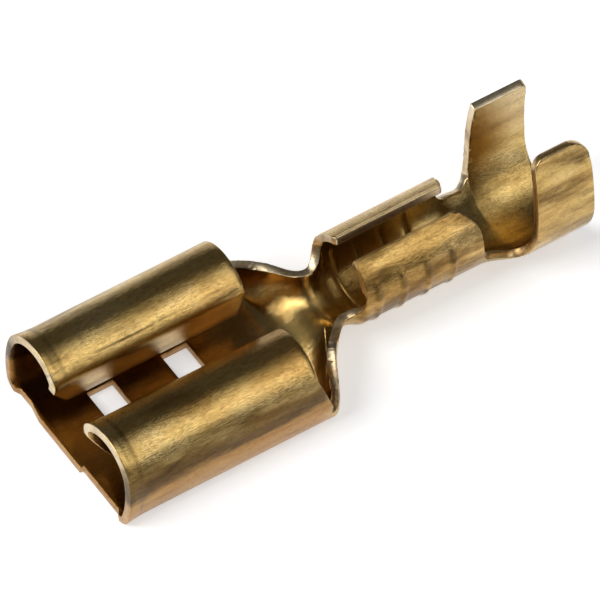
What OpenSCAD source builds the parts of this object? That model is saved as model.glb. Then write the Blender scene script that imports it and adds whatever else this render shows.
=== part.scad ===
// Female spade terminal: one strip of sheet brass, stamped flat and folded.
// +Z is up, +Y runs from the mouth towards the wire, and x = 0 is the middle line.

/* [Sheet] */
// Thickness of the sheet
sheet_t = 0.32; // [0.28:0.01:0.36]

/* [Tab] */
// Thickness of the blade tab that the receptacle takes
tab_t = 0.8; // [0.75:0.05:0.85]
// Gap between the tab and the free edges of the rails
tab_gap = 0.03; // [0.01:0.01:0.1]

/* [Receptacle] */
// Length of the rails at their crown, from the mouth
rail_l = 7.88; // [7.4:0.02:8]
// How far the rear cut slopes back down the sides of the rails
rear_rake = 0.56; // [0.3:0.02:0.7]
// Height above the floor where the rear cut starts to slope
rail_slope_z = 2.7; // [2.4:0.05:2.9]
// Height above the floor where the rear cut stops sloping
rail_foot_z = 1.2; // [1.1:0.05:1.3]
// Width of the flat floor between the bends
floor_w = 6.14; // [6:0.02:6.3]
// Outer radius of the bend from the floor into a rail
corner_r = 0.64; // [0.5:0.02:0.8]
// Turn of that bend in degrees
corner_turn = 74; // [70:1:78]
// Outer radius of the rail's side
side_r = 3.67; // [3:0.05:4.5]
// Turn of the rail's side in degrees
side_turn = 30; // [26:1:34]
// Outer radius of the rail's crown
crown_r = 1.53; // [1.45:0.01:1.6]
// Turn of the rail's crown in degrees
crown_turn = 127; // [122:1:130]
// Outer radius of the crease between the crown and the inner leg
crease_r = 0.45; // [0.4:0.01:0.6]
// Turn of the crease in degrees
crease_turn = 52; // [48:1:56]

/* [Mouth] */
// Length of the flared lip
lip_l = 0.8; // [0.5:0.05:1.2]
// How far the lip opens outwards at the mouth
lip_flare = 0.04; // [0.02:0.01:0.1]
// Height that the lead-in takes off the inner leg at the mouth
lead_h = 1.3; // [0.9:0.05:1.4]
// Length of the lead-in along the leg
lead_l = 1.25; // [0.9:0.05:1.6]
// Depth of the steps beside the tongue of the floor
tongue_d = 0.13; // [0.08:0.01:0.2]
// Side of the tongue towards -X
tongue_left = 1.7; // [1.4:0.05:2]
// Side of the tongue towards +X
tongue_right = 0.85; // [0.6:0.05:1.2]

/* [Windows] */
// Length of each window along the terminal
window_l = 1.06; // [0.8:0.02:1.2]
// Width of each window
window_w = 3.4; // [3:0.05:3.8]
// Distance from the mouth to the first window
window_y = 1.97; // [1.7:0.01:2.2]
// Distance from the start of one window to the next
window_pitch = 3.06; // [2.8:0.02:3.3]

/* [Neck] */
// Length of the neck from the receptacle to its narrowest place
neck_l = 2.2; // [2:0.02:2.4]
// Half width of the flat blank at the narrowest place
neck_half = 1.97; // [1.9:0.01:2.1]
// Half width of the flat blank where the neck leaves the receptacle
neck_root_half = 4.24; // [4.1:0.02:4.4]
// Length of the straight stretch of the blank behind the receptacle
neck_straight = 0.36; // [0.2:0.02:0.5]
// Outer bend radius at the neck's root
neck_root_r = 0.68; // [0.6:0.02:0.9]
// Outer bend radius at the narrowest place
neck_r = 1.32; // [1.25:0.01:1.5]
// Height of the neck's bottom above the floor at the narrowest place
neck_lift = 0.6; // [0.5:0.01:0.7]
// How much sooner the bends turn into the neck's round bottom than the floor narrows
round_power = 2; // [1.5:0.1:2.5]
// Length over which the bends of the rails fade into the neck
fade_l = 0.3; // [0.2:0.02:0.5]
// Length of the fillet from the neck into the wings
neck_fillet = 0.61; // [0.5:0.01:0.9]
// Rise of the blank's edge in that fillet
fillet_rise = 2.2; // [1.8:0.1:2.6]

/* [Wire barrel] */
// Bore of the open wire barrel
wire_bore_d = 2.8; // [2.6:0.05:3]
// Height of the barrel's axis above the floor
wire_axis_z = 2.27; // [2.2:0.01:2.4]
// Length of the barrel
wire_l = 4.84; // [4.6:0.02:5]
// Angle from the bottom round to the free edge of a wing
wire_wrap = 161; // [156:1:166]
// Radius of the rear corner of the wing on the +X side
wire_corner_r = 0.8; // [0.5:0.05:1]
// Radius of the rear corner of the wing on the -X side
wire_corner_small_r = 0.25; // [0.15:0.05:0.4]
// Radius of both wings' front corners
wire_front_r = 0.1; // [0.05:0.05:0.3]
// Lean of that wing's rear edge towards the mouth, for each unit of height
wire_lean = 0.15; // [0:0.01:0.2]

/* [Serrations] */
// Number of pressed ribs
rib_n = 4; // [3:1:4]
// Distance from the barrel's front to the first rib
rib_inset = 0.47; // [0.4:0.01:0.6]
// Distance between ribs
rib_pitch = 1.03; // [0.95:0.01:1.1]
// Radius of a rib's section
rib_r = 0.16; // [0.12:0.01:0.2]
// Height of a rib over the barrel
rib_h = 0.06; // [0.04:0.01:0.08]
// Angle from the bottom to the end of a rib on the +X side
rib_wrap = 122; // [100:1:130]
// Angle from the bottom to the end of a rib on the -X side
rib_wrap_back = 85; // [70:1:100]

/* [Trough] */
// Length of the trough between the two barrels
trough_l = 1.84; // [1.7:0.02:2.2]
// Half width of its flat blank
trough_half = 2.1; // [1.9:0.01:2.3]
// Length of the fillet behind the wire barrel
front_fillet = 0.35; // [0.25:0.05:0.5]
// Rise of the blank's edge in that fillet
front_rise = 0.9; // [0.6:0.1:1.2]
// Length of the fillet in front of the insulation barrel
rear_fillet = 0.8; // [0.4:0.05:0.9]
// Rise of the blank's edge in that fillet
rear_rise = 1.4; // [1:0.1:1.6]

/* [Insulation barrel] */
// Bore of the round part of the insulation barrel
ins_bore_d = 3.94; // [3.7:0.02:4.1]
// Height of its axis above the floor
ins_axis_z = 2.52; // [2.4:0.01:2.6]
// Length of the barrel at its bottom
ins_l = 2.38; // [2.2:0.02:2.6]
// Angle from the bottom to where the round part ends
ins_wrap = 92; // [90:1:100]
// Outer radius of the tall wing
tall_wing_r = 16; // [12:0.5:20]
// Outer radius of the short wing
short_wing_r = 11; // [8:0.5:14]
// Height of the wing on the -X side above the axis
tall_wing_h = 3.2; // [3:0.02:3.5]
// Height of the wing on the +X side above the axis
short_wing_h = 3.5; // [3.2:0.02:3.7]
// Lean of the tall wing's front edge towards the mouth, for each unit of height
tall_front_lean = 0.08; // [0:0.01:0.12]
// Lean of the tall wing's rear edge towards the mouth, for each unit of height
tall_rear_lean = 0.13; // [0.05:0.01:0.2]
// Lean of the short wing's rear edge towards the mouth, for each unit of height
short_rear_lean = 0.04; // [0:0.01:0.1]
// Radius of the short wing's front corner
short_front_r = 0.5; // [0.3:0.05:0.8]
// Radius of the short wing's rear corner
short_rear_r = 0.85; // [0.6:0.05:1.2]
// Radius of the tall wing's rear corner
tall_rear_r = 0.25; // [0.15:0.05:0.5]
// Radius of the tall wing's front corner
tall_front_r = 0.02; // [0.02:0.02:0.2]

/* [Hidden] */
// Segments of round parts
$fn = 96;
// Degrees in a radian
rad = 180 / PI;
// How deep one stretch of sheet is rooted in the next, and how far it is set in there
root = 0.06;
skin = 0.006;
rail_foot_l = rail_l + rear_rake;
neck_y = rail_foot_l + neck_l;
wire_y = neck_y + neck_fillet;
rib_y = wire_y + rib_inset;
trough_y = wire_y + wire_l;
ins_y = trough_y + trough_l;
overall_l = ins_y + ins_l;
// How far a cutter runs past what it cuts
past = 1;
wire_r = wire_bore_d / 2 + sheet_t;
ins_r = ins_bore_d / 2 + sheet_t;
floor_half = floor_w / 2;
corner_len = corner_r * corner_turn / rad;
leg_end_z = sheet_t + tab_t + tab_gap;

function smooth(u) = let (v = min(max(u, 0), 1)) v * v * (3 - 2 * v);
function mix(a, b, w) = a + (b - a) * w;
function last(list) = list[len(list) - 1];

// A line of sheet is a list of [x, z, heading], read along its outer face.
// bend() follows an arc of radius r that turns by a degrees in n steps.
function bend(p, r, a, n) = [
    for (k = [1:n])
        let (h = p[2] + a * k / n)
        [p[0] + r * (sin(h) - sin(p[2])), p[1] + r * (cos(p[2]) - cos(h)), h]
];
// run() goes straight on for a length.
function run(p, length) = [[p[0] + length * cos(p[2]), p[1] + length * sin(p[2]), p[2]]];

// walk() follows a heading that is a function of the distance from the middle line.
function walk(heading, half, z, n) =
    let (sub = 4, step = half / n / sub)
    let (fine = [
        for (i = 0, x = 0, y = z; i <= n * sub;
            x = x + step * cos(heading(step * (i + 0.5))),
            y = y + step * sin(heading(step * (i + 0.5))),
            i = i + 1)
            [x, y, heading(step * i)]
    ])
    [for (i = [0:n]) fine[i * sub]];

// Half section of the receptacle: floor, corner, side, crown, crease and leg
corner = bend([floor_half, 0, 0], corner_r, corner_turn, 8);
side = bend(last(corner), side_r, side_turn, 4);
crown = bend(last(side), crown_r, crown_turn, 16);
crease = bend(last(crown), crease_r, crease_turn, 5);
leg = run(last(crease), (last(crease)[1] - leg_end_z) / -sin(last(crease)[2]));
rail_line = concat([[0, 0, 0], [floor_half, 0, 0]], corner, side, crown, crease, leg);
rail_h = max([for (p = rail_line) p[1]]);
rail_half = max([for (p = rail_line) p[0]]);
// A cut of this half width takes in the legs and stays clear of the sides
leg_clear = (last(leg)[0] + floor_half) / 2;

// Outline of a half section: outer face outwards, inner face back
function outer(line, s) = [for (p = line) [p[0] - s * sin(p[2]), p[1] + s * cos(p[2])]];
function reversed(list) = [for (i = [len(list) - 1:-1:0]) list[i]];
function mirrored(list) = [for (p = list) [-p[0], p[1]]];
function both_sides(list) = concat(reversed(mirrored([for (i = [1:len(list) - 1]) list[i]])), list);
function ring(line, s) =
    concat(both_sides(outer(line, s)), reversed(both_sides(outer(line, sheet_t - s))));

// A stretch of sheet drawn through rings of equal count, each lying at its own y
module loft(rings, ys) {
    n = len(rings[0]);
    half = n / 2;
    points = [for (k = [0:len(ys) - 1]) for (p = rings[k]) [p[0], ys[k], p[1]]];
    sides = [
        for (k = [0:len(ys) - 2])
            for (i = [0:n - 1])
                let (a = k * n + i, b = k * n + (i + 1) % n)
                each [[a, b, b + n], [a, b + n, a + n]]
    ];
    front = [for (i = [0:half - 2]) each [[i, n - 1 - i, n - 2 - i], [i, n - 2 - i, i + 1]]];
    top = (len(ys) - 1) * n;
    rear = [for (f = front) [top + f[0], top + f[2], top + f[1]]];
    polyhedron(points = points, faces = concat(sides, front, rear), convexity = 8);
}

// A stretch of one constant section, from y0 over a length
module stretch(y0, length) {
    translate([0, y0 + length, 0])
        rotate([90, 0, 0])
            linear_extrude(length)
                children();
}

// A cutter with its profile in the side view, as wide as w about x
module side_cut(points, x, w) {
    translate([x - w / 2, 0, 0])
        rotate([90, 0, 90])
            linear_extrude(w)
                polygon(points);
}

// The lip flares where the sheet has turned up from the floor
function flare_at(p, u) = lip_flare * pow(1 - u, 2) * smooth(p[2] / 60);
function lip_line(u) = [
    for (p = rail_line)
        let (f = flare_at(p, u))
        [p[0] + f * sin(p[2]), p[1] - f * cos(p[2]), p[2]]
];

// Floor and rails in one stretch, with the flared lip at its front
module rolled_sheet() {
    us = [for (k = [0:5]) k / 5];
    ys = concat(us * lip_l, [rail_foot_l]);
    loft(concat([for (u = us) ring(lip_line(u), 0)], [ring(rail_line, 0)]), ys);
}

module lead_in() {
    steps = 8;
    low = (leg_end_z + sheet_t) / 2;
    rise = leg_end_z + lead_h - low;
    curve = [for (k = [0:steps]) [lead_l * k / steps, low + rise * pow(1 - k / steps, 1.3)]];
    side_cut(concat([[-past, low], [-past, low + rise]], curve), 0, 2 * leg_clear);
}

module tongue_steps() {
    slope = 5 * tongue_d;
    wide = floor_half + corner_r / 3;
    near = wide - 2 * tongue_d;
    left = -tongue_left;
    translate([0, 0, -past])
        linear_extrude(past + sheet_t + past) {
            polygon([
                [-wide, -past], [-wide, 0], [-near, tongue_d],
                [left - slope, tongue_d], [left, 0], [left, -past]
            ]);
            polygon([
                [wide, -past], [wide, 0], [near, tongue_d], [tongue_right, tongue_d], [tongue_right, -past]
            ]);
        }
}

module windows() {
    for (k = [0:1])
        translate([-window_w / 2, window_y + k * window_pitch, -past])
            cube([window_w, window_l, past + (sheet_t + leg_end_z) / 2]);
}

// The rear cut is square across the crown and the legs, and slopes back down the sides
module rear_cut() {
    top = rail_h + past;
    far = rail_l + 2 * rear_rake;
    slope = [[rail_l, rail_slope_z], [far, 2 * rail_foot_z - rail_slope_z]];
    side_cut(concat([[rail_l, top]], slope, [[far, top]]), 0, 2 * (rail_half + past));
    translate([-leg_clear, rail_l, (leg_end_z + sheet_t) / 2])
        cube([2 * leg_clear, rear_rake + past, rail_h]);
}

module receptacle() {
    difference() {
        rolled_sheet();
        lead_in();
        tongue_steps();
        windows();
        rear_cut();
    }
}

// Heading of the receptacle's section at a distance s from the middle line
function rail_heading(s) =
    let (u = s - floor_half)
    u <= 0 ? 0 : u < corner_len ? u / corner_r * rad : corner_turn + (u - corner_len) / side_r * rad;
// Heading of a trough with a flat bottom and round sides
function trough_heading(s, flat, r) = max(s - flat, 0) / r * rad;

// The neck gathers the flat floor into the round bottom of the wire barrel
function gather(y) = smooth((y - rail_foot_l - fade_l / 2) / (neck_l - fade_l / 2));
function neck_half_at(y) =
    let (u = (y - rail_foot_l - neck_straight) / (neck_l - neck_straight))
    mix(neck_root_half, neck_half, (1 - cos(180 * min(max(u, 0), 1))) / 2);
function neck_line(y, half) =
    let (g = gather(y), v = smooth((y - rail_foot_l) / fade_l))
    let (w = smooth(pow(max(y - neck_y, 0) / neck_fillet, 1.6)))
    let (flat = floor_half * (1 - g), r = mix(mix(neck_root_r, neck_r, pow(g, round_power)), wire_r, w))
    let (z = v * mix(g * neck_lift, wire_axis_z - wire_r, w))
    walk(function (s) mix(rail_heading(s), trough_heading(s, flat, r), v), half, z, 16);

module neck() {
    steps = 16;
    taper = [for (k = [0:steps]) mix(rail_foot_l, neck_y, pow(k / steps, 1.3))];
    fillet = [for (a = [10:10:80]) a];
    fillet_y = [for (a = fillet) neck_y + (neck_fillet - skin) * sin(a)];
    fillet_half = [for (a = fillet) neck_half + fillet_rise * (1 - cos(a))];
    end_half = neck_half + fillet_rise;
    loft(
        concat(
            [ring(neck_line(rail_foot_l - root, neck_root_half), skin * 2)],
            [for (y = taper) ring(neck_line(y, neck_half_at(y)), y > rail_foot_l ? 0 : skin)],
            [for (k = [0:len(fillet) - 1]) ring(neck_line(fillet_y[k], fillet_half[k]), 0)],
            [ring(neck_line(wire_y, end_half), skin), ring(neck_line(wire_y + root, end_half), skin)]
        ),
        concat([rail_foot_l - root], taper, fillet_y, [wire_y, wire_y + root])
    );
}

// Round barrel open at the top: a ring less a wedge from its axis
module open_ring(r, wrap) {
    far = 4 * r;
    side = far * sin(wrap);
    low = -far * cos(wrap);
    difference() {
        circle(r);
        circle(r - sheet_t);
        polygon([[0, 0], [side, low], [0, far], [-side, low]]);
    }
}

// Side view of a wing: a plate with rounded upper corners, over all y and z it may fill
function wing_view(y0, y1, z, lean0, lean1, r0, r1) =
    let (steps = 8, low = -2)
    let (front = z * lean0, rear = z * lean1)
    concat(
        [[y1, low], [y1, 0], [y1 - (z - r1) * lean1, z - r1]],
        [for (k = [1:steps]) let (a = 90 * k / steps)
            [y1 - rear - r1 * (1 - cos(a)), z - r1 + r1 * sin(a)]],
        [for (k = [0:steps]) let (a = 90 * k / steps)
            [y0 - front + r0 * (1 - sin(a)), z - r0 + r0 * cos(a)]],
        [[y0, 0], [y0, low]]
    );

// Keeps what lies inside a side view, from the middle to x = w
module wing_trim(points, w) {
    side_cut(points, w / 2, abs(w));
}

module wire_barrel() {
    wing_h = -wire_r * cos(wire_wrap);
    y0 = wire_y - 1;
    y1 = wire_y + wire_l;
    near = wing_view(y0, y1, wing_h, 0, 0, wire_front_r, wire_corner_r);
    far = wing_view(y0, y1, wing_h, 0, wire_lean, wire_front_r, wire_corner_small_r);
    difference() {
        translate([0, 0, wire_axis_z])
            intersection() {
                stretch(wire_y, wire_l)
                    open_ring(wire_r, wire_wrap);
                union() {
                    wing_trim(near, 4);
                    wing_trim(far, -4);
                }
            }
        for (k = [0:rib_n - 1])
            bead(rib_y + k * rib_pitch, wire_bore_d / 2 - rib_r + rib_h);
    }
}

// A pressed rib: a bead round the outside with a matching groove inside
module bead(y, r) {
    translate([0, y, wire_axis_z])
        rotate([90, 0, 0])
            rotate([0, 0, -90 - rib_wrap_back])
                rotate_extrude(angle = rib_wrap + rib_wrap_back)
                    translate([r, 0])
                        circle(rib_r, $fn = 24);
}

module ribs() {
    for (k = [0:rib_n - 1])
        bead(rib_y + k * rib_pitch, wire_r - rib_r + rib_h);
}

// Bottom and radius of the trough change from one barrel to the other
function trough_line(y, half) =
    let (w = smooth((y - trough_y) / (ins_y - trough_y)))
    let (r = mix(wire_r, ins_r, w))
    walk(function (s) trough_heading(s, 0, r), half, mix(wire_axis_z - wire_r, ins_axis_z - ins_r, w), 14);

module trough() {
    front_angles = [for (a = [80:-10:0]) a];
    front_y = [for (a = front_angles) trough_y + skin + front_fillet * (1 - sin(a))];
    front_half = [for (a = front_angles) trough_half + front_rise * (1 - cos(a))];
    mid_y = [for (k = [1:5]) mix(last(front_y), ins_y - rear_fillet, k / 5)];
    rear_angles = [for (a = [10:10:80]) a];
    rear_y = [for (a = rear_angles) ins_y - skin - rear_fillet * (1 - sin(a))];
    rear_half = [for (a = rear_angles) trough_half + rear_rise * (1 - cos(a))];
    front_ring = ring(trough_line(trough_y, front_half[0]), skin);
    rear_ring = ring(trough_line(ins_y, last(rear_half)), skin);
    loft(
        concat(
            [front_ring, front_ring],
            [for (k = [0:len(front_angles) - 1]) ring(trough_line(front_y[k], front_half[k]), 0)],
            [for (y = mid_y) ring(trough_line(y, trough_half), 0)],
            [for (k = [0:len(rear_y) - 1]) ring(trough_line(rear_y[k], rear_half[k]), 0)],
            [rear_ring, rear_ring]
        ),
        concat([trough_y - root, trough_y], front_y, mid_y, rear_y, [ins_y, ins_y + root])
    );
}

// Upright wing that goes on from the round part of the insulation barrel
module wing_section(h, r) {
    a = ins_wrap;
    start = [ins_r * sin(a), ins_axis_z - ins_r * cos(a), a];
    below = [ins_r * sin(a - 2), ins_axis_z - ins_r * cos(a - 2), a - 2];
    wing = bend(start, r, h / r * rad, 8);
    inner = reversed(outer(wing, sheet_t));
    rooted = [outer([start], sheet_t - skin)[0], outer([below], sheet_t - skin)[0]];
    polygon(concat(outer([below, start], skin), outer(wing, 0), inner, rooted));
}

module insulation_barrel() {
    y1 = ins_y + ins_l;
    lean_l = 0.6;
    spare_h = 0.5;
    short = wing_view(ins_y, y1, short_wing_h, 0, short_rear_lean, short_front_r, short_rear_r);
    tall = wing_view(ins_y, y1, tall_wing_h, tall_front_lean, tall_rear_lean, tall_front_r, tall_rear_r);
    intersection() {
        stretch(ins_y - lean_l, ins_l + lean_l) {
            wing_section(short_wing_h + spare_h, short_wing_r);
            mirror([1, 0])
                wing_section(tall_wing_h + spare_h, tall_wing_r);
        }
        translate([0, 0, ins_axis_z]) {
            wing_trim(short, 5);
            wing_trim(tall, -5);
        }
    }
    stretch(ins_y, ins_l)
        translate([0, ins_axis_z])
            open_ring(ins_r, ins_wrap);
}

module terminal() {
    color("darkgoldenrod")
        translate([0, -overall_l / 2, 0]) {
            receptacle();
            neck();
            wire_barrel();
            ribs();
            trough();
            insulation_barrel();
        }
}

terminal();
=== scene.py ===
import math
import bpy, bmesh
from mathutils import Matrix, Vector


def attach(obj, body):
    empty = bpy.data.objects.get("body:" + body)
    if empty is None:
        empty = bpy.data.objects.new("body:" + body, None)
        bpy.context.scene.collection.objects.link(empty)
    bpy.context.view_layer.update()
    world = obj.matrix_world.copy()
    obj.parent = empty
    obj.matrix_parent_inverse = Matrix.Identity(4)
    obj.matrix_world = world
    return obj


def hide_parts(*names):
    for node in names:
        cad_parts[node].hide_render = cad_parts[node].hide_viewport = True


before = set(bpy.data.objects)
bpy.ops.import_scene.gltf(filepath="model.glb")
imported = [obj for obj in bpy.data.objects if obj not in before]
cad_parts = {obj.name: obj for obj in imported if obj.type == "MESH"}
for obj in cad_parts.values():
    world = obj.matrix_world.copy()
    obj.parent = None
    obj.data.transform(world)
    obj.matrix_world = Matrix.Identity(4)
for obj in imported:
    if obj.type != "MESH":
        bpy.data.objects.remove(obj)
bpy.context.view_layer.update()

# ---- The terminal: the flat blank ----
# One strip of brass 0.32 mm thick, sheared flat in a press tool before it is folded.
# The blank lies in (s, y): s is the way round the outer face from the middle line, y the
# distance from the mouth. All sizes here are in millimetres.
sheet_t, tab_t, tab_play = 0.32, 0.8, 0.03
floor_half, corner_r, corner_turn = 3.07, 0.64, math.radians(74)
side_r, side_turn = 3.67, math.radians(30)
crown_r, crown_turn = 1.53, math.radians(127)
crease_r, crease_turn = 0.45, math.radians(52)
leg_end_z = sheet_t + tab_t + tab_play
rail_l, rail_foot_l = 7.88, 8.44
windows, window_half = ((1.97, 3.03), (5.03, 6.09)), 1.7
flare_l = 0.8
neck_y, neck_half, neck_root_half, neck_straight = 10.64, 1.97, 4.24, 0.36
neck_delay, neck_fade = 0.15, 0.3
dish_r, dish_open_r, dish_rise, dish_soft = 0.68, 1.32, 0.6, 0.9
wire_y, wire_l, wire_r, wire_axis_z, wire_wrap = 11.25, 4.84, 1.72, 2.27, math.radians(161)
trough_y, trough_half = wire_y + wire_l, 2.1
ins_y, ins_l, ins_r, ins_axis_z, ins_wrap = 17.93, 2.38, 2.29, 2.52, math.radians(92)
near_wing_r, far_wing_r = 11.0, 16.0
end_y = ins_y + ins_l


def smooth(u):
    u = min(max(u, 0.0), 1.0)
    return u * u * (3 - 2 * u)


def mix(a, b, w):
    return a + (b - a) * w


def rail_heading(s):
    """Turn of the receptacle's section at a way s round it: floor, corner, side, crown, crease, leg."""
    h, s = 0.0, s - floor_half
    bends = ((corner_r, corner_turn), (side_r, side_turn), (crown_r, crown_turn), (crease_r, crease_turn))
    for r, turn in bends:
        if s <= 0:
            return h
        h += min(s / r, turn)
        s -= r * turn
    return h


def neck_shares(y):
    """How far the neck is gathered into its dish at y, and how far it has opened to the wire barrel."""
    gathered = smooth((y - rail_foot_l - neck_delay) / (neck_y - rail_foot_l - neck_delay))
    opened = smooth((max(y - neck_y, 0) / (wire_y - neck_y)) ** 1.6)
    return gathered, opened


def neck_heading(s, y):
    """Turn of the neck's section: the floor dishes softly into its bends instead of breaking at a line."""
    g, w = neck_shares(y)
    r = mix(mix(dish_r, dish_open_r, g * g), wire_r, w)
    flat = floor_half * (1 - g)
    d, soft = s - flat, dish_soft * g * (1 - g) * 4
    start = math.sqrt(floor_half ** 2 * (1 - g) ** 2 + soft * soft) - flat
    eased = (d + math.sqrt(d * d + soft * soft)) / 2 - start / 2
    return mix(rail_heading(s), max(eased, 0) / r, smooth((y - rail_foot_l) / neck_fade))


def heading(s, y, side):
    """Turn of the sheet's section at y, a way s round it."""
    if y <= rail_foot_l:
        return rail_heading(s)
    if y < wire_y:
        return neck_heading(s, y)
    if y <= trough_y:
        return s / wire_r
    if y < ins_y - 0.001:
        return s / mix(wire_r, ins_r, smooth((y - trough_y) / (ins_y - trough_y)))
    round_l = ins_r * ins_wrap
    wing_r = near_wing_r if side > 0 else far_wing_r
    return s / ins_r if s <= round_l else ins_wrap + (s - round_l) / wing_r


def bottom(y):
    """Height of the outer face at the middle line."""
    if y <= rail_foot_l:
        return 0.0
    if y < wire_y:
        g, w = neck_shares(y)
        return smooth((y - rail_foot_l) / neck_fade) * mix(g * dish_rise, wire_axis_z - wire_r, w)
    w = smooth((y - trough_y) / (ins_y - trough_y))
    return mix(wire_axis_z - wire_r, ins_axis_z - ins_r, w)


section_step = 0.02


def section(y, side, far=11.5):
    """Points (x, z, heading) of the outer face along the section at y, one for each step of s."""
    x, z, line = 0.0, bottom(y), []
    for k in range(int(far / section_step) + 2):
        line.append((x, z, heading(section_step * k, y, side)))
        h = heading(section_step * (k + 0.5), y, side)
        x += section_step * math.cos(h)
        z += section_step * math.sin(h)
    return line


def way_at(line, z, start, falling=False):
    """Way round a section, from start on, at which it reaches the height z."""
    for k in range(int(start / section_step), len(line) - 1):
        a, b = line[k][1], line[k + 1][1]
        if (a >= z >= b and a != b) if falling else (a <= z <= b and a != b):
            return section_step * (k + (z - a) / (b - a))
    raise ValueError("the section never reaches that height")


rail = section(0, 1)
side_way = floor_half + corner_r * corner_turn + side_r * side_turn
leg_way = side_way + crown_r * crown_turn + crease_r * crease_turn
leg_z = rail[int(leg_way / section_step)][1]
rail_way = leg_way + (leg_z - leg_end_z) / -math.sin(rail_heading(leg_way))
crown_way = side_way + crown_r * math.radians(80)


def arc(n, start=0.0, end=90.0):
    """Angles that split a corner into n steps."""
    return [math.radians(start + (end - start) * k / n) for k in range(n + 1)]


def half_outline(side):
    """Outline of one half of the blank, from the middle of the mouth to the middle of the wire end."""
    near = side > 0
    # Mouth: the tongue, the step beside it and the corner of the floor
    wide, step, tongue = floor_half + corner_r / 3, 0.13, 0.85 if near else 1.7
    line = [(tongue, 0), (tongue if near else tongue + 5 * step, step)]
    line += [(wide - 2 * step, step), (wide, 0)]
    # Lead-in along the free edge of the rail
    low, lead_l, lead_h = (leg_end_z + sheet_t) / 2, 1.25, 1.3
    rise = leg_end_z + lead_h - low
    for k in range(41):
        z = low + rise * (1 - k / 40) ** 1.3
        if z > leg_end_z:
            line.append((way_at(rail, z, crown_way, True), lead_l * k / 40))
    # Free edge, square rear of the crown, and the rake down the side
    rake_top_z, rake_foot_z = 2.7, 1.2
    line += [(rail_way, line[-1][1] + 0.03), (rail_way, rail_l)]
    for k in range(13):
        z = mix(rake_top_z, rake_foot_z, k / 12)
        line.append((way_at(rail, z, floor_half), mix(rail_l, rail_foot_l, k / 12)))
    # Neck and the fillet up into the wing of the wire barrel
    fillet_w = 2.2
    line.append((neck_root_half, rail_foot_l))
    for k in range(1, 41):
        y = mix(rail_foot_l, neck_y, k / 40)
        u = max(y - rail_foot_l - neck_straight, 0) / (neck_y - rail_foot_l - neck_straight)
        line.append((mix(neck_root_half, neck_half, (1 - math.cos(math.pi * u)) / 2), y))
    for a in arc(14)[1:]:
        line.append((neck_half + fillet_w * (1 - math.cos(a)), neck_y + (wire_y - neck_y) * math.sin(a)))
    # Wing of the wire barrel: front corner, free edge, rear corner
    top = -wire_r * math.cos(wire_wrap)
    front_r, rear_r, lean = 0.1, 0.8 if near else 0.25, 0.0 if near else 0.15
    for a in arc(5):
        z = top - front_r + front_r * math.sin(a)
        line.append((wire_r * math.acos(-z / wire_r), wire_y + front_r * (1 - math.cos(a))))
    for a in arc(12):
        z = top - rear_r + rear_r * math.cos(a)
        line.append((wire_r * math.acos(-z / wire_r), trough_y - top * lean - rear_r * (1 - math.sin(a))))
    # Trough with a fillet at each end
    front_w, front_l, rear_w, rear_l = 0.9, 0.35, 1.4, 0.8
    for a in arc(12, 90, 0):
        line.append((trough_half + front_w * (1 - math.cos(a)), trough_y + front_l * (1 - math.sin(a))))
    for a in arc(14):
        line.append((trough_half + rear_w * (1 - math.cos(a)), ins_y - rear_l * (1 - math.sin(a))))
    # Wing of the insulation barrel
    wing = section(ins_y + 0.1, side)
    top, front_r, rear_r = (3.5, 0.5, 0.85) if near else (3.2, 0.02, 0.25)
    front_lean, rear_lean = (0.0, 0.04) if near else (0.08, 0.13)
    for k in range(9):
        z = (top - front_r) * k / 8
        line.append((way_at(wing, ins_axis_z + z, floor_half), ins_y - z * front_lean))
    for a in arc(10)[1:]:
        z = top - front_r + front_r * math.sin(a)
        y = ins_y - top * front_lean + front_r * (1 - math.cos(a))
        line.append((way_at(wing, ins_axis_z + z, floor_half), y))
    for a in arc(14):
        z = top - rear_r + rear_r * math.cos(a)
        y = end_y - top * rear_lean - rear_r * (1 - math.sin(a))
        line.append((way_at(wing, ins_axis_z + z, floor_half), y))
    for k in range(1, 9):
        z = (top - rear_r) * (1 - k / 8)
        line.append((way_at(wing, ins_axis_z + z, 3), end_y - z * rear_lean))
    return [(side * s, y) for s, y in line]


blank = bmesh.new()
outline = half_outline(1) + half_outline(-1)[::-1]
corners = []
for s, y in outline:
    if not corners or (corners[-1].co - Vector((s, y, 0))).length > 0.004:
        corners.append(blank.verts.new((s, y, 0)))
blank.faces.new(corners)

# Rule the blank into small panels, closest where it is bent most
window_rows = [y for window in windows for y in window]
rows = [0.13 * k for k in range(1, 8)] + [flare_l + 0.36 * k for k in range(20)]
rows += [rail_foot_l - 0.3 + 0.075 * k for k in range(42)]
rows += [wire_y + 0.08 * k for k in range(1, 60)]
rows += [trough_y - 0.05 + 0.09 * k for k in range(22)] + [ins_y + 0.17 * k for k in range(14)]
ways = [0.0] + [0.13 * k for k in range(1, 83)]


def ruled(values, fixed, gap=0.05):
    """The rulings in order and no closer than the gap, with the fixed ones always among them."""
    kept = []
    for value in sorted(values + fixed):
        if not kept or value - kept[-1] > gap:
            kept.append(value)
    return sorted(set(fixed) | {v for v in kept if all(abs(v - f) > gap for f in fixed)})


for y in ruled(rows, window_rows):
    bmesh.ops.bisect_plane(
        blank, geom=blank.verts[:] + blank.edges[:] + blank.faces[:], dist=1e-5,
        plane_co=(0, y, 0), plane_no=(0, 1, 0))
ways = ruled(ways, [window_half])
for s in ways + [-w for w in ways if w > 0]:
    bmesh.ops.bisect_plane(
        blank, geom=blank.verts[:] + blank.edges[:] + blank.faces[:], dist=1e-5,
        plane_co=(s, 0, 0), plane_no=(1, 0, 0))

# Two latch windows are punched through the floor
punched = []
for face in blank.faces:
    c = face.calc_center_median()
    if abs(c.x) < window_half and any(front < c.y < rear for front, rear in windows):
        punched.append(face)
bmesh.ops.delete(blank, geom=punched, context="FACES")
rim = [v for v in blank.verts if v.is_boundary]
bmesh.ops.remove_doubles(blank, verts=rim, dist=0.02)

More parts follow.
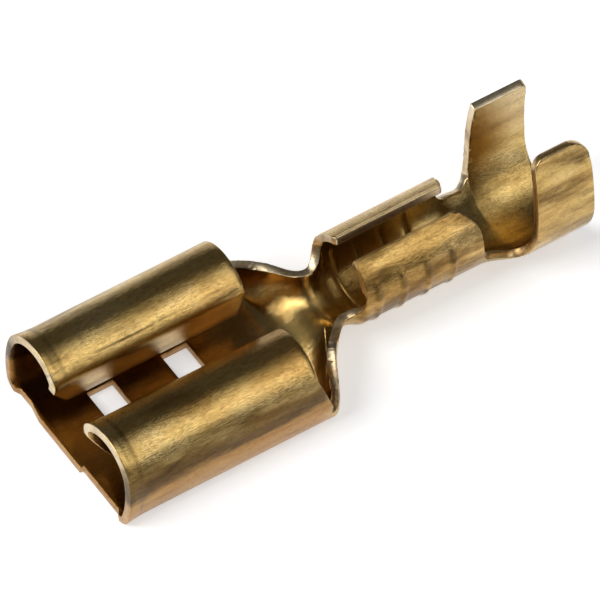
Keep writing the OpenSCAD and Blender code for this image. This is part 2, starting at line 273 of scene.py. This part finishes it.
# ---- The terminal: folding ----
# The blank is rolled up in the press: rails over, neck gathered, barrels raised. The four
# ribs are pressed out across the wire barrel so that the strands are gripped.
mm, cm = 0.001, 0.1
uv = blank.loops.layers.uv.new("blank")
for face in blank.faces:
    for loop in face.loops:
        loop[uv].uv = (loop.vert.co.x * cm, loop.vert.co.y * cm)
rib_y, rib_pitch, rib_half, rib_r, rib_sunk = 11.72, 1.03, 0.125, 0.16, 0.1
rib_turn = {1: math.radians(122), -1: math.radians(85)}
flare_out, lean_y = 0.07, ins_y - 0.6
sections = {}
for v in blank.verts:
    s, y, side = abs(v.co.x), v.co.y, 1 if v.co.x >= 0 else -1
    key = (0.0 if y <= rail_foot_l else round(y, 3), side if y > lean_y else 1)
    if key not in sections:
        # A wing's front edge may lean past its barrel, which keeps its own section there
        sections[key] = section(ins_y if (key[0] > lean_y and s > 3.4) else key[0], key[1])
    line = section(ins_y, side) if (lean_y < y < ins_y and s > 3.6) else sections[key]
    k = min(int(s / section_step), len(line) - 2)
    f = s / section_step - k
    x, z, h = (mix(line[k][i], line[k + 1][i], f) for i in range(3))
    out = 0.0
    if y < flare_l:
        out += flare_out * (1 - y / flare_l) ** 1.6 * smooth(h / math.radians(60))
    for rib in range(4):
        d = abs(y - rib_y - rib_pitch * rib)
        if d < rib_half and wire_y < y < trough_y:
            end = smooth((rib_turn[side] - s / wire_r) / 0.08 + 0.5)
            out += (math.sqrt(rib_r ** 2 - d * d) - rib_sunk) * end
    x += out * math.sin(h)
    z -= out * math.cos(h)
    v.co = Vector((side * x, y - end_y / 2, z)) * mm

bmesh.ops.recalc_face_normals(blank, faces=blank.faces[:])
probe = min(blank.faces, key=lambda face: face.calc_center_median().length)
if probe.normal.z > 0:
    bmesh.ops.reverse_faces(blank, faces=blank.faces[:])
for face in blank.faces:
    face.smooth = True
mesh = bpy.data.meshes.new("brass_terminal")
blank.to_mesh(mesh)
blank.free()
terminal = bpy.data.objects.new("brass_terminal", mesh)
bpy.context.scene.collection.objects.link(terminal)

wall = terminal.modifiers.new("sheet", "SOLIDIFY")
wall.thickness = sheet_t * mm
wall.offset = -1
wall.use_even_offset = True
wall.use_rim = True
wall.material_offset_rim = 1
edge = terminal.modifiers.new("edges", "BEVEL")
edge.width = 0.035 * mm
edge.segments = 2
edge.limit_method = "ANGLE"
edge.angle_limit = math.radians(50)
edge.use_clamp_overlap = False

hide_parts("terminal")
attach(terminal, "root")

# ---- Brass of the rolled faces ----
# Rolled and drawn brass strip, partly tarnished: olive gold with brown and coppery
# patches, fine drawing lines along the strip, and small dark pits. Painted shade and a painted dark
# reflection darken it in lines and bands.
brass = bpy.data.materials.new("rolled_brass")
brass.use_nodes = True
nodes, links = brass.node_tree.nodes, brass.node_tree.links
shader = nodes["Principled BSDF"]
shader.inputs["Metallic"].default_value = 1.0
place = nodes.new("ShaderNodeTexCoord").outputs


def feed(socket, value):
    """Put a number or colour on a socket, or join the output of another node to it."""
    if isinstance(value, bpy.types.NodeSocket):
        links.new(value, socket)
    else:
        socket.default_value = value


def noise(scale, detail, rough, stretch, source, seed=(0, 0, 0)):
    m = nodes.new("ShaderNodeMapping")
    m.inputs["Location"].default_value = seed
    m.inputs["Scale"].default_value = stretch
    n = nodes.new("ShaderNodeTexNoise")
    n.inputs["Scale"].default_value = scale
    n.inputs["Detail"].default_value = detail
    n.inputs["Roughness"].default_value = rough
    links.new(source, m.inputs["Vector"])
    links.new(m.outputs["Vector"], n.inputs["Vector"])
    return n.outputs["Fac"]


def ramp(source, stops, name=""):
    """Colour between stops along the source. A plain number in a stop is a grey."""
    r = nodes.new("ShaderNodeValToRGB")
    if name:
        r.name = name
    stops = [(at, (*c, 1) if isinstance(c, tuple) else (c, c, c, 1)) for at, c in stops]
    first, last = r.color_ramp.elements
    first.position, first.color = stops[0]
    last.position, last.color = stops[-1]
    for at, colour in stops[1:-1]:
        r.color_ramp.elements.new(at).color = colour
    links.new(source, r.inputs["Fac"])
    return r.outputs["Color"]


def blend(kind, share, under, over):
    m = nodes.new("ShaderNodeMix")
    m.data_type = "RGBA"
    m.blend_type = kind
    feed(m.inputs["Factor"], share)
    feed(m.inputs["A"], under)
    feed(m.inputs["B"], over)
    return m.outputs["Result"]


def reckon(operation, *values):
    m = nodes.new("ShaderNodeMath")
    m.operation = operation
    for socket, value in zip(m.inputs, values):
        feed(socket, value)
    return m.outputs[0]


def rising(source, low, high):
    """0 below low, 1 above high and an eased rise between."""
    m = nodes.new("ShaderNodeMapRange")
    m.interpolation_type = "SMOOTHSTEP"
    m.inputs["From Min"].default_value = low
    m.inputs["From Max"].default_value = high
    links.new(source, m.inputs["Value"])
    return m.outputs["Result"]


# Places on the flat blank, in centimetres: the way across it from the middle line, and along it
flat = nodes.new("ShaderNodeSeparateXYZ")
links.new(place["UV"], flat.inputs[0])
across, along = flat.outputs["X"], flat.outputs["Y"]
width = reckon("ABSOLUTE", across)
patches = noise(450, 5, 0.6, (1, 0.5, 1), place["Object"])
mottle = noise(1500, 6, 0.6, (1, 0.22, 1), place["Object"], (3, 1, 2))
lines = noise(60, 3, 0.6, (9, 0.25, 1), place["UV"])
grain = noise(13000, 3, 0.7, (1, 0.5, 1), place["Object"], (2, 8, 1))
warm = noise(260, 4, 0.55, (1, 0.6, 1), place["Object"], (7, 4, 5))
# Dark brown, painted as shade along creases and at the rib ends, and for one dark patch
painted_dark_brown = (0.10, 0.055, 0.015, 1)

# The brass itself, stained in patches, streaked by drawing and specked with pits
gold = [(0.32, (0.55, 0.35, 0.12)), (0.5, (0.72, 0.51, 0.19)), (0.68, (0.84, 0.65, 0.31))]
stain = [(0.30, (0.40, 0.33, 0.24)), (0.42, (0.80, 0.74, 0.64)), (0.56, 1.0)]
streak = [(0.35, (0.78, 0.74, 0.66)), (0.62, 1.0)]
pits = [(0.36, (0.50, 0.46, 0.38)), (0.50, 1.0)]
colour = blend("MULTIPLY", 0.7, ramp(patches, gold, "gold"), ramp(mottle, stain))
colour = blend("MULTIPLY", 0.8, colour, ramp(lines, streak))
colour = blend("MULTIPLY", 0.45, colour, ramp(grain, pits))

# Painted shade: a dark line along the crown of one rail, beside the crease above its leg
line_way, line_half = -0.882, 0.0045
off = reckon("COMPARE", reckon("MULTIPLY_ADD", patches, 0.02, across), line_way, line_half)
dark = reckon("MULTIPLY", off, ramp(mottle, [(0.42, 0.85), (0.56, 0.12)], "painted crease shade"))
colour = blend("MIX", dark, colour, painted_dark_brown)

# Warm copper patches, and on the receptacle a dark band along each side: partly tarnish, partly a painted
# dark reflection
copper = [(0.45, (1.0, 0.80, 0.62)), (0.7, (0.95, 0.62, 0.40))]
colour = blend("MULTIPLY", ramp(warm, [(0.5, 0.0), (0.68, 0.35)]), colour, ramp(warm, copper, "copper"))
tarnish_and_reflection_band = [(0.40, (0.62, 0.46, 0.32)), (0.50, (0.74, 0.58, 0.46)), (0.58, (0.62, 0.49, 0.38)),
        (0.62, (0.15, 0.12, 0.10)), (0.68, (0.26, 0.23, 0.20)), (0.76, 1.0)]
drift = reckon("MULTIPLY_ADD", mottle, 0.18, width)
on_receptacle = ramp(along, [(0.0, 1.0), (0.80, 1.0), (0.88, 0.0)])
colour = blend("MULTIPLY", on_receptacle, colour, ramp(drift, tarnish_and_reflection_band))

# One half of the barrels is darkened to a mottled brown
browned_half = blend("MULTIPLY", 1.0, rising(along, 1.05, 1.15), ramp(across, [(0.0, 0.0), (0.08, 1.0)]))
brown = [(0.38, (0.44, 0.40, 0.36)), (0.60, (0.94, 0.90, 0.84))]
colour = blend("MULTIPLY", browned_half, colour, ramp(mottle, brown, "brown"))

# Painted shade: a faint dark ring behind the lip of each rail, where the flared lip bends into the rail
on_rail = ramp(width, [(0.40, 0.0), (0.45, 1.0)])
ring = blend("MULTIPLY", 1.0, on_rail, ramp(along, [(0.040, 0.0), (0.052, 1.0), (0.058, 1.0), (0.066, 0.0)]))
ring = blend("MULTIPLY", 1.0, ring, ramp(mottle, [(0.36, 0.60), (0.62, 0.15)], "ring"))
colour = blend("MIX", ring, colour, painted_dark_brown)

# Painted shade at the upper end of each rib on one wing of the wire barrel, where the rib's bump ends
from_rib = reckon("SUBTRACT", along, 1.172)
on_rib = ramp(reckon("PINGPONG", from_rib, 0.0515), [(0.010, 1.0), (0.020, 0.0)])
on_end = ramp(across, [(0.300, 0.0), (0.315, 1.0), (0.350, 1.0), (0.375, 0.0)])
on_barrel = ramp(from_rib, [(0.0, 1.0), (0.36, 1.0), (0.365, 0.0)])
rib_end_shade = blend("MULTIPLY", 1.0, on_rib, on_end)
rib_end_shade = blend("MULTIPLY", 1.0, rib_end_shade, ramp(mottle, [(0.36, 0.95), (0.62, 0.35)]))
rib_end_shade = blend("MULTIPLY", 1.0, rib_end_shade, on_barrel)
colour = blend("MIX", rib_end_shade, colour, painted_dark_brown)

# A dark mottled patch is painted under the top of the short wing of the insulation barrel
under_top = ramp(across, [(0.595, 0.0), (0.615, 1.0), (0.650, 1.0), (0.665, 0.0)])
dark_patch_under_top = blend("MULTIPLY", 1.0, under_top, ramp(mottle, [(0.40, 1.0), (0.54, 0.1)], "dark_patch_under_top"))
colour = blend("MIX", blend("MULTIPLY", 1.0, dark_patch_under_top, rising(along, 1.80, 1.85)), colour, painted_dark_brown)
links.new(colour, shader.inputs["Base Color"])
links.new(ramp(mottle, [(0.3, 0.27), (0.65, 0.15)], "polish"), shader.inputs["Roughness"])

# Shallow drawing lines and a slight wave are felt in the surface
dent = nodes.new("ShaderNodeBump")
dent.inputs["Strength"].default_value = 0.25
dent.inputs["Distance"].default_value = 0.00004
links.new(lines, dent.inputs["Height"])
wave = nodes.new("ShaderNodeBump")
wave.inputs["Strength"].default_value = 0.16
wave.inputs["Distance"].default_value = 0.00008
links.new(patches, wave.inputs["Height"])
links.new(dent.outputs["Normal"], wave.inputs["Normal"])
links.new(wave.outputs["Normal"], shader.inputs["Normal"])

# ---- Brass of the sheared edges ----
# The same brass where the press tool cut it through: the fresh metal has a paler colour and
# a rougher surface than the rolled faces.
cut = brass.copy()
cut.name = "sheared_brass"
pale = (0.70, 0.55, 0.34, 1), (0.86, 0.72, 0.50, 1), (0.95, 0.84, 0.64, 1)
for name in ("gold", "copper", "brown"):
    for stop, shade in zip(cut.node_tree.nodes[name].color_ramp.elements, pale):
        stop.color = shade
# On the cut edges the painted shade lines and the dark patch are evened out, and the edges made rougher
for name in ("painted crease shade", "ring", "dark_patch_under_top", "polish"):
    stops = cut.node_tree.nodes[name].color_ramp.elements
    stops[0].color, stops[-1].color = (0.42, 0.42, 0.42, 1), (0.28, 0.28, 0.28, 1)
terminal.data.materials.append(brass)
terminal.data.materials.append(cut)

# ---- Floor ----
# The table top the terminal lies on: plain matt white board, one flat sheet just under the
# brass. It is the same white to the camera and to the brass, and keeps the terminal's shadow.
sheet = bmesh.new()
bmesh.ops.create_grid(sheet, x_segments=1, y_segments=1, size=3.0)
table = bpy.data.meshes.new("table")
sheet.to_mesh(table)
sheet.free()
table.transform(Matrix.Translation((0, 0, -0.00002)))
floor = bpy.data.objects.new("table", table)
bpy.context.scene.collection.objects.link(floor)
white = bpy.data.materials.new("table_white")
white.use_nodes = True
nodes, links = white.node_tree.nodes, white.node_tree.links
for node in list(nodes):
    nodes.remove(node)
matt = nodes.new("ShaderNodeBsdfDiffuse")
matt.inputs["Color"].default_value = (0.85, 0.85, 0.85, 1)
glow = nodes.new("ShaderNodeEmission")
ray = nodes.new("ShaderNodeLightPath").outputs
seen = reckon("ADD", ray["Is Camera Ray"], ray["Is Glossy Ray"])
links.new(reckon("MULTIPLY", seen, 0.5), glow.inputs["Strength"])
both = nodes.new("ShaderNodeAddShader")
links.new(matt.outputs[0], both.inputs[0])
links.new(glow.outputs[0], both.inputs[1])
links.new(both.outputs[0], nodes.new("ShaderNodeOutputMaterial").inputs["Surface"])
table.materials.append(white)

# ---- Light and camera ----
# Three soft boxes over the table in a dim room: a broad one and a narrow strip beside the
# terminal, and one in front of its mouth. A long lens looks down on it from the mouth end.
world = bpy.data.worlds.new("room")
bpy.context.scene.world = world
world.use_nodes = True
world.node_tree.nodes["Background"].inputs["Color"].default_value = (1, 1, 1, 1)
world.node_tree.nodes["Background"].inputs["Strength"].default_value = 0.08


def soft_box(name, at, look, size, strength):
    data = bpy.data.lights.new(name, "AREA")
    data.shape = "RECTANGLE"
    data.size, data.size_y = size
    data.energy = strength * math.pi * size[0] * size[1]
    box = bpy.data.objects.new(name, data)
    box.location = at
    box.rotation_euler = (Vector(look) - Vector(at)).to_track_quat("-Z", "Y").to_euler()
    bpy.context.scene.collection.objects.link(box)


soft_box("side", (0.33, 0.16, 0.46), (0.1, 0.05, 0), (0.42, 0.46), 1.05)
soft_box("strip", (0.33, 0.22, 0.30), (0, 0, 0), (0.05, 0.5), 1.6)
soft_box("front", (-0.06, -0.40, 0.42), (0, 0, 0), (0.34, 0.30), 8.0)

lens = bpy.data.cameras.new("camera")
lens.lens = 835.2
lens.sensor_width = 36
lens.clip_start, lens.clip_end = 0.01, 20
camera = bpy.data.objects.new("camera", lens)
right = Vector((0.55937, 0.82735, 0.05100))
up = Vector((-0.67367, 0.41789, 0.60953))
back = Vector((0.48298, -0.37531, 0.79112))
camera.matrix_world = Matrix((
    (right.x, up.x, back.x, 0.23120),
    (right.y, up.y, back.y, -0.180265),
    (right.z, up.z, back.z, 0.38095),
    (0, 0, 0, 1)))
bpy.context.scene.collection.objects.link(camera)
bpy.context.scene.camera = camera
bpy.context.scene.view_settings.view_transform = "Standard"
